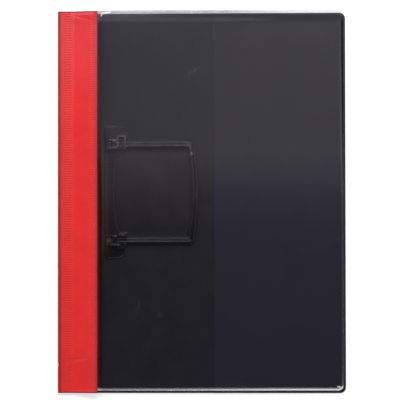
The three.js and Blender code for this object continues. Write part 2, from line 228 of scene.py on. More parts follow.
# Points of the sheet: spacing from stop to stop, across and along it, and the columns and rows
# of the photograph between which it passes over the clip. The closer columns start under the
# strip by HEM_UNDERLAP, and are HEM_FINE wide there and CORNER_FINE wide by the free corners. The
# closer rows are ENDS_FINE long.
COLUMN_STEPS = (3 * MM, 0.35 * MM, 0.8 * MM, 1.8 * MM, 0.8 * MM, 1.8 * MM, 0.6 * MM)
ROW_STEPS = (0.5 * MM, 2.9 * MM, 0.75 * MM, 2.9 * MM, 0.75 * MM, 2.9 * MM, 0.5 * MM)
BAR_COLUMN = 131
CROSSBAR_COLUMNS = (188, 198)
ARM_ROWS = (250, 231, 158, 124)
CORNER_POINTS = 15
COLUMN_INSET = 0.4 * MM
HEM_UNDERLAP = 0.5 * MM
HEM_FINE = 6 * MM
CORNER_FINE = 7 * MM
ENDS_FINE = 12 * MM

# Rays that find the CAD sheet's underside: how many, how far they keep from its two sides, and
# how far below the folder they start
PROBES = 240
PROBE_INSETS = (0.3 * MM, 0.05 * MM)
PROBE_DEPTH = 0.1

# Haze of the front sheet with painted light that varies along it, at places from its foot (0) to its head
# (1)
HAZE_AND_LIGHT_STOPS = (0.12, 0.42, 0.5, 0.62, 0.7, 0.9)
HAZE_AND_LIGHT_COLOURS = (
    (0.0115, 0.009, 0.0235), (0.008, 0.005, 0.013), (0.02, 0.014, 0.025),
    (0.072, 0.065, 0.078), (0.06, 0.055, 0.068), (0.04, 0.035, 0.062),
)

# Marks on the front sheet: three scuffs, then painted highlights of the clip's edges and arms under the
# sheet
SCUFFS_AND_CLIP_HIGHLIGHTS = (
    (((188, 76), (194, 71), (200, 68)), 0.08, 0.9 * MM),
    (((137, 310), (139, 304), (140, 300)), 0.035, 0.9 * MM),
    (((158, 313), (162, 313)), 0.06, 0.9 * MM),
    (((106, 126.8), (116, 126.8)), 0.1, 0.6 * MM),
    (((111, 147.2), (117, 147.2)), 0.16, 0.6 * MM),
    (((112, 244.5), (119.5, 244.3)), 0.2, 0.6 * MM),
    (((107.5, 240.5), (111, 240.5)), 0.1, 1.3 * MM),
    (((118, 144.8), (118, 135.8), (125, 135.8), (125, 144.5)), 0.16, 0.6 * MM),
    (((119.6, 234.1), (122, 233.2), (127, 232.6)), 0.14, 0.6 * MM),
    (((191.3, 153.2), (191.6, 154)), 0.4, 0.7 * MM),
    (((186, 142.5), (189.8, 144.5), (190.8, 149)), 0.12, 0.8 * MM),
    (((195.5, 193), (195.5, 195.5)), 0.1, 0.6 * MM),
    (((128, 141.9), (186, 141.9)), 0.09, 0.5 * MM),
    (((128, 144.6), (188, 144.8)), 0.13, 0.5 * MM),
    (((128, 237.8), (189, 237.6)), 0.11, 0.5 * MM),
    (((128, 240.2), (190, 240)), 0.13, 0.5 * MM),
)

# Painted shade over the clip's lower lobe, brown tint over its bar, and painted highlights on the bead
LOBE_SHADE = ((((108, 250), (114, 252)), 0.8, 6 * MM),)
BROWN = (0.055, 0.029, 0.016)
BROWN_PLACES = (
    (((105, 160), (105.5, 250)), 1.0, 4 * MM),
    (((155, 176), (160, 184)), 0.35, 7 * MM),
    (((183, 204), (185, 212)), 0.35, 7 * MM),
)
BEAD_HIGHLIGHTS = (
    (((101.2, 15.6), (102, 14.2), (103.5, 13.3), (106, 12.9), (110, 12.5)), 1.0, 0.7 * MM),
    (((336.5, 385.8), (338.5, 386.2)), 1.0, 0.8 * MM),
)
SPOT_LIGHT = 0.7
SPOT_COVER = 0.6

# Painted highlight bands below the head of the sheet: strength, distance from the head, width, and
# the X over which each fades out
HEAD_HIGHLIGHT_BANDS = (
    (0.07, 7.6 * MM, 1.7 * MM, 0.03, 0.08),
    (0.1, 4 * MM, 3.5 * MM, -0.06, 0.0),
)

# Hem beside the strip: painted shadow of the strip, widest at its middle and weaker towards the
# head, with a painted red reflection of the strip at its free edge. Distances are from that edge.
HEM_SHADOW_COLOUR = (0.002, 0.001, 0.001)
HEM_COVER = 0.93
HEM_START = (-2.6 * MM, -0.9 * MM)
HEM_FADE = (0.8 * MM, 5 * MM)
HEM_BULGE = (1.3 * MM, 0.5, 0.17)
HEM_WEAKER = (0.6, 0.55, 0.85)
RED_REFLECTION_COLOUR = (0.09, 0.002, 0.002)
RED_REFLECTION_PLACE = 0.6 * MM
RED_REFLECTION_WIDTH = 0.9 * MM

# Painted highlight line along the bead: its place across it, its widths outside and inside that
# place, and its looks. Head and foot differ over RIM_ENDS.
LINE_PLACE = 0.3
LINE_WIDTHS = (0.24, 0.36)
LINE_TINT = (1, 0.99, 1.03)
LINE_LIGHT = 0.05
LINE_COVER = 0.16
RIM_ENDS = (5 * MM, 2.6 * MM)

# Foot of the bead: its painted light at the strip and what is added up to the free edge, its cover,
# and the strength and reach of a faint painted glow. Then its head: its painted light, its cover at
# the strip, what that loses up to the free edge, and the share of the width where the loss begins.
FOOT_LIGHT = (0.2, 0.55)
FOOT_COVER = 0.3
FOOT_GLOW = (0.12, 12 * MM)
HEAD_LIGHT = 0.06
HEAD_COVER = (0.44, 0.26, 0.4)

# Dark margin of the sheet: outside the bead, and below the head from HEAD_MARGIN_START of the
# width, with its strength, its distance from the head and its width
MARGIN_DARKNESS = 0.9
MARGIN_COVER = 0.4
HEAD_MARGIN = (0.6, 5.5 * MM, 3 * MM)
HEAD_MARGIN_START = (0.3, 0.7)

# Moulded edges of the clip: their rounding, how sharp an edge has to be to get it, and below
# what angle and distance faces and points of the node are one
CLIP_ROUNDING = 0.3 * MM
ROUNDING_SEGMENTS = 3
SHARP_ANGLE = math.radians(32)
FLAT_ANGLE = math.radians(1)
MERGE_DISTANCE = 0.002 * MM


# Small helpers

def smoothstep(low, high, value):
    t = np.clip((value - low) / (high - low), 0.0, 1.0)
    return t * t * (3.0 - 2.0 * t)


def bump(centre, width, value):
    return np.exp(-((value - centre) / width) ** 2)


def from_photo(column, row):
    """Place of a pixel of the photograph, as X and Y in metres."""
    return STRIP_LOW.x + (column - SPINE_COLUMN) * PIXEL, (MIDDLE_ROW - row) * PIXEL


def near_line(x, y, pixels, width):
    """Strength, from 1 on the line through some pixels of the photograph to 0 away from it."""
    places = [from_photo(*pixel) for pixel in pixels]
    nearest = np.full(np.shape(x), 1.0)
    for (ax, ay), (bx, by) in zip(places, places[1:]):
        run = (bx - ax) ** 2 + (by - ay) ** 2
        t = np.clip(((x - ax) * (bx - ax) + (y - ay) * (by - ay)) / run, 0, 1)
        gap = np.hypot(x - ax - t * (bx - ax), y - ay - t * (by - ay))
        nearest = np.minimum(nearest, gap)
    return np.exp(-(nearest / width) ** 2)


def marked(x, y, marks):
    """Strength of some marks at each place, added up."""
    return sum(strength * near_line(x, y, pixels, width) for pixels, strength, width in marks)


def with_light(haze_and_light, amount, colour=(1, 1, 1)):
    """Haze and painted light with an amount of a colour added to it at each place."""
    return haze_and_light + amount[..., None] * np.array(colour)


def store(obj, name, values):
    """Keep one number, or one colour, for each vertex under a name that a material reads."""
    values = np.asarray(values, dtype=np.float32)
    if values.ndim == 1:
        obj.data.attributes.new(name, "FLOAT", "POINT").data.foreach_set("value", values)
    else:
        with_alpha = np.concatenate([values, np.ones((len(values), 1), np.float32)], 1)
        obj.data.attributes.new(name, "FLOAT_COLOR", "POINT").data.foreach_set(
            "color", with_alpha.ravel())


def new_object(name, vertices, faces, smooth=True):
    mesh = bpy.data.meshes.new(name)
    mesh.from_pydata([tuple(v) for v in vertices], [], [tuple(f) for f in faces])
    mesh.validate()
    mesh.update()
    mesh.polygons.foreach_set("use_smooth", [smooth] * len(mesh.polygons))
    obj = bpy.data.objects.new(name, mesh)
    bpy.context.scene.collection.objects.link(obj)
    return obj


# Camera

def make_camera():
    data = bpy.data.cameras.new("camera")
    data.sensor_width = SENSOR_WIDTH
    data.lens = SENSOR_WIDTH * CAMERA_HEIGHT / (FRAME_PIXELS * VIEW_PIXEL)
    data.clip_end = FAR_CLIP
    camera = bpy.data.objects.new("camera", data)
    aim = Vector((*VIEW_CENTRE, 0))
    camera.location = aim + Vector((*CAMERA_OFFSET, CAMERA_HEIGHT))
    look = Vector((0, 0, -1)).rotation_difference(aim - camera.location)
    camera.rotation_euler = (look @ Quaternion((0, 0, 1), VIEW_TILT)).to_euler()
    bpy.context.scene.collection.objects.link(camera)
    bpy.context.scene.camera = camera


# Lights and floor

def make_softbox(name, place, aim, size, watts):
    data = bpy.data.lights.new(name, "AREA")
    data.shape = "RECTANGLE"
    data.size, data.size_y = size
    data.energy = watts
    light = bpy.data.objects.new(name, data)
    light.location = place
    light.rotation_euler = (Vector(aim) - Vector(place)).to_track_quat("-Z", "Y").to_euler()
    bpy.context.scene.collection.objects.link(light)


def make_room():
    """A pale room with a darker ceiling: white at the horizon, dim overhead."""
    world = bpy.data.worlds.new("studio")
    world.use_nodes = True
    nodes, links = world.node_tree.nodes, world.node_tree.links
    background = nodes["Background"]
    background.inputs["Color"].default_value = (1, 1, 1, 1)
    direction = nodes.new("ShaderNodeTexCoord")
    height = nodes.new("ShaderNodeSeparateXYZ")
    strength = nodes.new("ShaderNodeMapRange")
    strength.interpolation_type = "SMOOTHSTEP"
    strength.inputs["From Min"].default_value = ROOM_HEIGHTS[0]
    strength.inputs["From Max"].default_value = ROOM_HEIGHTS[1]
    strength.inputs["To Min"].default_value = ROOM_LIGHT[0]
    strength.inputs["To Max"].default_value = ROOM_LIGHT[1]
    links.new(direction.outputs["Generated"], height.inputs["Vector"])
    links.new(height.outputs["Z"], strength.inputs["Value"])
    links.new(strength.outputs["Result"], background.inputs["Strength"])
    bpy.context.scene.world = world


def make_floor():
    corners = [(x * FLOOR_HALF, y * FLOOR_HALF, 0) for x, y in ((-1, -1), (1, -1), (1, 1), (-1, 1))]
    floor = new_object("floor", corners, [(0, 1, 2, 3)], smooth=False)
    floor.location.z = -FLOOR_DROP
    material, shader = new_material("floor_white", [FLOOR_GREY] * 3, roughness=0.7)
    shader.inputs["Specular IOR Level"].default_value = 0.1
    shader.inputs["Emission Color"].default_value = (1, 1, 1, 1)
    rays = material.node_tree.nodes.new("ShaderNodeLightPath").outputs
    seen = calculate(material, "MAXIMUM", rays["Is Camera Ray"], rays["Is Glossy Ray"])
    seen = calculate(material, "MAXIMUM", seen, rays["Is Transmission Ray"])
    glow = calculate(material, "MULTIPLY", seen, FLOOR_GLOW)
    feed(material, shader.inputs["Emission Strength"], glow)
    floor.data.materials.append(material)


# Nodes of a material

def new_material(name, colour, roughness):
    material = bpy.data.materials.new(name)
    material.use_nodes = True
    shader = material.node_tree.nodes["Principled BSDF"]
    shader.inputs["Base Color"].default_value = (*colour, 1)
    shader.inputs["Roughness"].default_value = roughness
    return material, shader


def feed(material, socket, value):
    """Link a socket to another one, or set it to a colour or a number."""
    if isinstance(value, bpy.types.NodeSocket):
        material.node_tree.links.new(value, socket)
    elif isinstance(value, tuple):
        socket.default_value = (*value, 1)
    else:
        socket.default_value = value


def object_place(material):
    """Place of each point in the object's own axes."""
    return material.node_tree.nodes.new("ShaderNodeTexCoord").outputs["Object"]


def along_folder(material, start, end):
    """Value that runs from 0 to 1 between two places along the folder."""
    split = material.node_tree.nodes.new("ShaderNodeSeparateXYZ")
    feed(material, split.inputs["Vector"], object_place(material))
    return remap(material, split.outputs["Y"], 0, 1, start, end)


def noise(material, scale, detail, stretch=(1, 1, 1)):
    nodes = material.node_tree.nodes
    mapping = nodes.new("ShaderNodeMapping")
    mapping.inputs["Scale"].default_value = stretch
    texture = nodes.new("ShaderNodeTexNoise")
    texture.inputs["Scale"].default_value = scale
    texture.inputs["Detail"].default_value = detail
    feed(material, mapping.inputs["Vector"], object_place(material))
    feed(material, texture.inputs["Vector"], mapping.outputs["Vector"])
    return texture.outputs["Fac"]


def ramp(material, source, *stops):
    """Colour that follows a value; each stop is a position and its colour."""
    node = material.node_tree.nodes.new("ShaderNodeValToRGB")
    elements = node.color_ramp.elements
    for element, (position, colour) in zip(elements, (stops[0], stops[-1])):
        element.position = position
        element.color = (*colour, 1)
    for position, colour in stops[1:-1]:
        elements.new(position).color = (*colour, 1)
    feed(material, node.inputs["Fac"], source)
    return node.outputs["Color"]


def remap(material, source, low, high, start=0.0, end=1.0):
    node = material.node_tree.nodes.new("ShaderNodeMapRange")
    node.inputs["From Min"].default_value = start
    node.inputs["From Max"].default_value = end
    node.inputs["To Min"].default_value = low
    node.inputs["To Max"].default_value = high
    feed(material, node.inputs["Value"], source)
    return node.outputs["Result"]


def cloudy(material, scale, detail, low, high):
    """Value that wanders between low and high in soft clouds."""
    return remap(material, noise(material, scale, detail), low, high, start=0.25, end=0.75)


def vary_roughness(material, shader, scale, detail, low, high):
    feed(material, shader.inputs["Roughness"], remap(material, noise(material, scale, detail), low, high))


def add_bump(material, shader, source, distance, strength):
    node = material.node_tree.nodes.new("ShaderNodeBump")
    node.inputs["Distance"].default_value = distance
    node.inputs["Strength"].default_value = strength
    feed(material, node.inputs["Height"], source)
    feed(material, shader.inputs["Normal"], node.outputs["Normal"])


def attribute(material, name):
    node = material.node_tree.nodes.new("ShaderNodeAttribute")
    node.attribute_name = name
    return node


def mix(material, kind, factor, first, second):
    """Blend of two colours; each input is a socket, a colour or a number."""
    node = material.node_tree.nodes.new("ShaderNodeMix")
    node.data_type = "RGBA"
    node.blend_type = kind
    feed(material, node.inputs[0], factor)
    feed(material, node.inputs[6], first)
    feed(material, node.inputs[7], second)
    return node.outputs[2]


def calculate(material, operation, first, second):
    """Result of an operation on two values; each is a socket or a number."""
    node = material.node_tree.nodes.new("ShaderNodeMath")
    node.operation = operation
    feed(material, node.inputs[0], first)
    feed(material, node.inputs[1], second)
    return node.outputs[0]


# Materials

def red_vinyl():
    """Vinyl of the strip, whose painted shade and painted highlights are kept for each vertex."""
    material, shader = new_material("red_vinyl", (0.68, 0.018, 0.019), roughness=0.42)
    clouds = noise(material, scale=55, detail=5)
    colour = ramp(material, clouds, (0.3, REDS[0]), (0.7, REDS[1]))
    shaded = mix(material, "MULTIPLY", 1.0, colour, attribute(material, "shade").outputs["Color"])
    painted_highlight = mix(material, "MIX", attribute(material, "painted_highlight").outputs["Fac"], shaded, HIGHLIGHT_RED)
    feed(material, shader.inputs["Base Color"], painted_highlight)
    vary_roughness(material, shader, scale=190, detail=3, low=0.34, high=0.5)
    grain = noise(material, scale=900, detail=3)
    add_bump(material, shader, grain, distance=0.02 * MM, strength=0.6)
    return material


def black_vinyl():
    material, shader = new_material("black_vinyl", (0.02, 0.02, 0.022), roughness=0.4)
    clouds = noise(material, scale=14, detail=6)
    colour = ramp(material, clouds, (0.3, VINYL_BLACKS[0]), (0.75, VINYL_BLACKS[1]))
    feed(material, shader.inputs["Base Color"], colour)
    vary_roughness(material, shader, scale=60, detail=5, low=0.34, high=0.5)
    grain = noise(material, scale=1400, detail=2)
    add_bump(material, shader, grain, distance=0.015 * MM, strength=0.5)
    return material


def finish_film(material, shader):
    """Gloss and slight waviness that the pocket and the front sheet share."""
    shader.inputs["IOR"].default_value = VINYL_IOR
    vary_roughness(material, shader, scale=120, detail=4, low=0.18, high=0.3)
    waves = noise(material, scale=26, detail=3, stretch=(1, 0.6, 1))
    add_bump(material, shader, waves, distance=0.12 * MM, strength=0.35)


def pocket_vinyl():
    """Film of the inner pocket: bluer than the front sheet, and paler towards the head as painted light.
    """
    material, shader = new_material("pocket_film", (0.07, 0.068, 0.12), roughness=0.22)
    along = along_folder(material, SHEET_LOW.y, SHEET_HIGH.y)
    colour = ramp(material, along, *zip((0.15, 0.5, 0.9), POCKET_BLUES))
    feed(material, shader.inputs["Base Color"], colour)
    feed(material, shader.inputs["Alpha"], cloudy(material, scale=34, detail=5, low=0.11, high=0.15))
    finish_film(material, shader)
    return material


def sheet_material(name, colour, roughness):
    """Material of the front sheet, and the cover that is kept with its haze and painted light for each
    vertex.
    """
    material, shader = new_material(name, colour, roughness)
    feed(material, shader.inputs["Base Color"], attribute(material, "haze_and_light").outputs["Color"])
    return material, shader, attribute(material, "cover").outputs["Fac"]


def front_vinyl():
    material, shader, cover = sheet_material("front_film", (0.03, 0.03, 0.034), roughness=0.22)
    streaks = cloudy(material, scale=34, detail=5, low=0.85, high=1.15)
    feed(material, shader.inputs["Alpha"], calculate(material, "MULTIPLY", cover, streaks))
    finish_film(material, shader)
    return material


def front_rim():
    """Welded bead of the front sheet: thick glossy vinyl, with its painted highlight line and painted
    light kept for each vertex.
    """
    material, shader, cover = sheet_material("clear_rim", (0.34, 0.35, 0.37), roughness=0.12)
    grain = cloudy(material, scale=90, detail=4, low=0.9, high=1.1)
    feed(material, shader.inputs["Alpha"], calculate(material, "MULTIPLY", cover, grain))
    vary_roughness(material, shader, scale=240, detail=3, low=0.1, high=0.2)
    return material


def front_hem_shadow():
    """Part of the front sheet along the spine strip, dark with the strip's painted shadow."""
    material, shader, cover = sheet_material("film_hem_shadow", (0.003, 0.001, 0.001), roughness=0.5)
    shader.inputs["Specular IOR Level"].default_value = 0.12
    feed(material, shader.inputs["Alpha"], cover)
    vary_roughness(material, shader, scale=140, detail=4, low=0.42, high=0.6)
    return material


def black_plastic(name, gloss, smoothest, roughest):
    """Moulded plastic of the clip, a deeper black towards the foot of the folder as painted shade."""
    material, shader = new_material(name, (0.005, 0.005, 0.006), smoothest)
    shader.inputs["Specular IOR Level"].default_value = gloss
    along = along_folder(material, *PLASTIC_SHADE_FALL)
    colour = ramp(material, along, (0.1, PLASTIC_BLACKS[0]), (0.5, PLASTIC_BLACKS[1]))
    feed(material, shader.inputs["Base Color"], colour)
    vary_roughness(material, shader, scale=160, detail=4, low=smoothest, high=roughest)
    grain = noise(material, scale=2200, detail=2)
    add_bump(material, shader, grain, distance=0.01 * MM, strength=0.5)
    return material


def dress_node(name, material):
    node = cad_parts[name]
    node.data.materials.clear()
    node.data.materials.append(material)


# Red spine strip: one sheet from under the rear cover, round the fold and out to its free edge

def strip_path():
    """Outer side of the strip's section as X and Z, and the slope of its free part."""
    left = STRIP_LOW.x
    top = STRIP_HIGH.z - RIB_HEIGHT
    radius = top / 2
    slope = math.atan2(FLAP_HIGH.z - STRIP_HIGH.z, FLAP_HIGH.x - STRIP_HIGH.x)
    points = [(x, 0.0) for x in np.linspace(STRIP_HIGH.x - BACK_MARGIN, left + radius, BACK_POINTS)]
    for turn in np.linspace(-math.pi / 2, -1.5 * math.pi, FOLD_POINTS + 2)[1:-1]:
        points.append((left + radius + radius * math.cos(turn), radius + radius * math.sin(turn)))
    flat_stops = [radius, *FLAT_STOPS, LEFT_SEAM[0] - LEFT_SEAM_LEAD]
    flat_stops += [*np.linspace(*LEFT_SEAM, LEFT_SEAM_POINTS), LEFT_SEAM[1] + SEAM_GAP]
    flat_stops += [STRIP_HIGH.x - FLAT_MARGIN - left]
    points += [(left + stop, top) for stop in flat_stops]
    length = (FLAP_HIGH.x - STRIP_HIGH.x) / math.cos(slope)
    seam_end = length - RIGHT_SEAM_MARGIN
    seam_start = seam_end - RIGHT_SEAM_WIDTH
    flap_stops = [*FLAP_STOPS, seam_start - SEAM_GAP]
    flap_stops += [*np.linspace(seam_start, seam_end, RIGHT_SEAM_POINTS), seam_end + SEAM_GAP, length]
    points += [(STRIP_HIGH.x + s * math.cos(slope), top + s * math.sin(slope)) for s in flap_stops]
    return np.array(points), slope


def path_normals(path):
    """Directions square to the section's outer side, one for each of its points."""
    along = np.vstack([path[1:], path[-1]]) - np.vstack([path[0], path[:-1]])
    along /= np.linalg.norm(along, axis=1)[:, None]
    return np.stack([-along[:, 1], along[:, 0]], 1)


def seam_profile(from_spine, y, start, end, phase, relief, split=False):
    """Height of a seam's ribs above the sheet; a split seam is smooth along its middle."""
    seam = smoothstep(start, start + RIB_FADE, from_spine)
    seam = seam * (1 - smoothstep(end - RIB_FADE, end, from_spine))
    wave = 0.5 + 0.5 * np.cos(2 * math.pi * (y / RIB_PITCH + phase))
    wave = RIB_VALLEY + (1 - RIB_VALLEY) * smoothstep(*RIB_FLANK, wave)
    if split:
        seam = seam * (1 - SPLIT_DEPTH * bump((start + end) / 2, SPLIT_WIDTH, from_spine))
    return relief * seam * wave


def strip_dents(from_spine, y):
    """Depth of the slack between the seams and of the dents near the ends."""
    mean, swing, radians, start = SLACK_WAVE
    wave = mean + swing * math.sin(y * radians + start)
    depth = SLACK_DEPTH * wave * bump(SLACK_MIDDLE, SLACK_REACH, from_spine)
    for distance, dents in ((STRIP_HIGH.y - y, HEAD_DENTS), (y - STRIP_LOW.y, FOOT_DENTS)):
        for deepest, place, slope, width, middle, reach in dents:
            line = place + slope * (from_spine - DENT_START)
            depth = depth + deepest * bump(line, width, distance) * bump(middle, reach, from_spine)
    return depth


def strip_rows(path, slope, ys):
    """Closed rings of points, one for each place along the strip."""
    normal = path_normals(path)
    from_spine = path[:, 0] - STRIP_LOW.x
    is_top = np.arange(len(path)) >= TOP_START
    seam_end = FLAP_HIGH.x - STRIP_LOW.x - RIGHT_SEAM_MARGIN * math.cos(slope)
    seam_start = seam_end - RIGHT_SEAM_WIDTH * math.cos(slope)
    nick_across = NICK_DEPTH * bump(0, NICK_REACH[0], from_spine)
    vertices = []
    for y in ys:
        rib = seam_profile(from_spine, y, *LEFT_SEAM, 0.0, RIB_RELIEF)
        rib += seam_profile(
            from_spine, y, seam_start, seam_end, RIGHT_SEAM_PHASE, FLAP_RIB_RELIEF, split=True)
        dent = is_top * strip_dents(from_spine, y)
        outer = path + normal * (is_top * rib - dent)[:, None]
        inner = path - normal * (STRIP_THICKNESS + dent)[:, None]
        ring = np.concatenate([outer, inner[::-1]])
        nick = nick_across * bump(from_photo(*NICK_PIXEL)[1], NICK_REACH[1], y)
        ring[:, 0] += np.concatenate([nick, nick[::-1]])
        vertices += [(x, y, z) for x, z in ring]
    return vertices


def strip_faces(half, rows):
    """Quads between rings of twice half the points, and those that close the two ends."""
    ring = 2 * half
    faces = []
    for row in range(rows - 1):
        here, there = row * ring, (row + 1) * ring
        for i in range(ring):
            j = (i + 1) % ring
            faces.append((here + i, here + j, there + j, there + i))
    for row in (0, rows - 1):
        base = row * ring
        for i in range(half - 1):
            quad = (base + i, base + i + 1, base + ring - 2 - i, base + ring - 1 - i)
            faces.append(quad if row else tuple(reversed(quad)))
    return faces


def edge_shade(distance, light, start, end):
    """Share of the light at a distance from an edge that is darker."""
    return light + (1 - light) * smoothstep(start, end, distance)


def strip_shade(x, y):
    """Painted shade at the fold, free edge, head, foot, ends, left seam and left part, and in the creases.
    """
    from_spine = x - STRIP_LOW.x
    shade = edge_shade(from_spine, *FOLD_SHADE) * edge_shade(FLAP_HIGH.x - x, *FREE_SHADE)
    shade = shade * edge_shade(STRIP_HIGH.y - y, *HEAD_SHADE) * edge_shade(y - STRIP_LOW.y, *FOOT_SHADE)
    shade = shade * (1 - ENDS_SHADE[0] * smoothstep(*ENDS_SHADE[1:], np.abs(y)))
    shade = shade * (1 - LEFT_SEAM_SHADE[0] * bump(*LEFT_SEAM_SHADE[1:], from_spine)
                     - LEFT_PART_SHADE * smoothstep(*LEFT_PART, from_spine))
    shade = shade * (1 - marked(x, y, CREASE_SHADOWS))
    return np.stack([shade] * 3, 1)


def strip_painted_highlights(x, y):
    """Painted highlights on bent edges and creases, a painted sheen at the head and a painted highlight on
    the free edge.
    """
    sheen = HEAD_SHEEN[0] * smoothstep(*HEAD_SHEEN[1:], y)
    sheen = sheen * (1 - HEAD_SHEEN_FADE[0] * smoothstep(*HEAD_SHEEN_FADE[1:], STRIP_HIGH.y - y))
    sheen = sheen * (1 - HEAD_SHEEN_FADE[0] * smoothstep(*LEFT_PART, x - STRIP_LOW.x))
    edge = FREE_EDGE_HIGHLIGHT[0] * bump(*FREE_EDGE_HIGHLIGHT[1:], FLAP_HIGH.x - x)
    return marked(x, y, HIGHLIGHT_LINES) + sheen + edge


def build_strip(material):
    path, slope = strip_path()
    rows = int((STRIP_HIGH.y - STRIP_LOW.y) / (RIB_PITCH / RIB_ROWS))
    vertices = strip_rows(path, slope, np.linspace(STRIP_LOW.y, STRIP_HIGH.y, rows))
    strip = new_object("red_spine_strip", vertices, strip_faces(len(path), rows))
    strip.data.materials.append(material)
    across, along = np.array(vertices)[:, 0], np.array(vertices)[:, 1]
    store(strip, "shade", strip_shade(across, along))
    store(strip, "painted_highlight", strip_painted_highlights(across, along))
    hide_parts("spine_strip", "spine_flap")
    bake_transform(strip)


# Clear front sheet: thin film over the clip, with a rounded weld bead along three edges

def film_underside():
    """X and height of places on the underside of the CAD sheet, read from the frame."""
    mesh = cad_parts["front_sheet"].data
    tree = BVHTree.FromPolygons([v.co for v in mesh.vertices], [tuple(p.vertices) for p in mesh.polygons])
    xs = np.linspace(SHEET_LOW.x + PROBE_INSETS[0], SHEET_HIGH.x - PROBE_INSETS[1], PROBES)
    below = [Vector((x, SHEET_MIDDLE, -PROBE_DEPTH)) for x in xs]
    return xs, np.array([tree.ray_cast(start, Vector((0, 0, 1)))[0].z for start in below])


def spaced(stops, steps):
    """Places from stop to stop, each stretch with its own spacing."""
    stretches = [np.linspace(a, b, max(2, round((b - a) / step) + 1))[:-1]
                 for a, b, step in zip(stops, stops[1:], steps)]
    return np.concatenate(stretches + [stops[-1:]])


def film_columns():
    """Places across the sheet, close together beside the strip, over the clip and at the free edge."""
    corner = SHEET_HIGH.x - FILM_CORNER
    hem = FLAP_HIGH.x - HEM_UNDERLAP
    over_clip = [from_photo(column, 0)[0] for column in (BAR_COLUMN, *CROSSBAR_COLUMNS)]
    stops = [SHEET_LOW.x + COLUMN_INSET, hem, hem + HEM_FINE, *over_clip, corner - CORNER_FINE, corner]
    turn = np.linspace(0, math.pi / 2, CORNER_POINTS + 1)[1:]
    return np.concatenate([spaced(stops, COLUMN_STEPS), corner + FILM_CORNER * np.sin(turn)])


def film_rows():
    """Places along the sheet from -1 to 1, close together at head, foot and over the clip's arms."""
    inner = SHEET_HALF - ENDS_FINE
    arms = [from_photo(0, row)[1] for row in ARM_ROWS]
    return spaced([-SHEET_HALF, -inner, *arms, inner, SHEET_HALF], ROW_STEPS) / SHEET_HALF


def film_grid():
    """X of the sheet's points, Y from the sheet's middle, and their distance from its edge."""
    xs, ts = film_columns(), film_rows()
    corner_x, corner_y = SHEET_HIGH.x - FILM_CORNER, SHEET_HALF - FILM_CORNER
    past = np.clip(xs - corner_x, 0, FILM_CORNER)
    half_at = corner_y + np.sqrt(np.maximum(FILM_CORNER**2 - past**2, 0))
    x = np.repeat(xs[:, None], len(ts), 1)
    y = half_at[:, None] * ts[None, :]
    edge = np.minimum(SHEET_HALF - np.abs(y), SHEET_HIGH.x - x)
    in_corner = (x > corner_x) & (np.abs(y) > corner_y)
    edge = np.where(in_corner, FILM_CORNER - np.hypot(x - corner_x, np.abs(y) - corner_y), edge)
    return x, y, np.maximum(edge, 0)


def film_wave(x, y):
    """Slight looseness of the sheet, always downwards from the taut shape."""
    wave = 0.5 + sum(0.25 * np.sin(x * in_x + y * in_y + start) for in_x, in_y, start in LOOSE_WAVES)
    past_clip = smoothstep(*LOOSE_START, x - SHEET_LOW.x)
    return -LOOSE_DEPTH * wave * past_clip * (1 - smoothstep(*LOOSE_END, SHEET_HIGH.x - x))


def film_section(x, y, edge):
    """Heights of the sheet's two sides, each place's share across the bead and its dark margin."""
    along = (y + SHEET_HALF) / (2 * SHEET_HALF)
    by_head = smoothstep(*HEAD_REACH, SHEET_HALF - y)
    at_head = HEAD_INSETS[0] + (HEAD_INSETS[1] - HEAD_INSETS[0]) * smoothstep(FLAP_HIGH.x, SHEET_HIGH.x, x)
    inset = by_head * at_head + (1 - by_head) * np.interp(along, RIM_STOPS, RIM_INSETS)
    across = np.clip((edge - inset) / FILM_RIM_WIDTH, 0, 1)
    bead = np.where(across < 1, np.sqrt(np.maximum(1 - (2 * across - 1) ** 2, 0)), 0)
    bead = bead * smoothstep(*RIM_START, x - FLAP_HIGH.x)
    under = np.interp(x, *film_underside()) + film_wave(x, y)
    thinning = EDGE_SHARE + (1 - EDGE_SHARE) * smoothstep(0, EDGE_REACH, edge)
    over = under + FILM_THICKNESS * thinning + FILM_RIM_PROUD * bead
    margin = smoothstep(0, MARGIN_FADE, inset - edge) * (1 - by_head)
    return under, over, across, margin


def film_faces(x, across):
    """Faces of both sides and of the border, each with its material: film 0, bead 1, hem 2."""
    columns, rows = x.shape
    count = columns * rows
    faces, kinds = [], []
    for i in range(columns - 1):
        for j in range(rows - 1):
            a, b, c, d = i * rows + j, (i + 1) * rows + j, (i + 1) * rows + j + 1, i * rows + j + 1
            kind = 0
            if across[i:i + 2, j:j + 2].mean() < BEAD_SHARE and x[i, j] > FLAP_HIGH.x:
                kind = 1
            elif x[i, j] < FLAP_HIGH.x + HEM_WIDTH:
                kind = 2
            faces += [(count + a, count + b, count + c, count + d), (d, c, b, a)]
            kinds += [kind, kind]
    border = [i * rows for i in range(columns)]
    border += [(columns - 1) * rows + j for j in range(1, rows)]
    border += [i * rows + rows - 1 for i in range(columns - 2, -1, -1)]
    border += [j for j in range(rows - 2, 0, -1)]
    for a, b in zip(border, border[1:] + border[:1]):
        faces.append((a, b, count + b, count + a))
        kinds.append(1)
    return faces, kinds


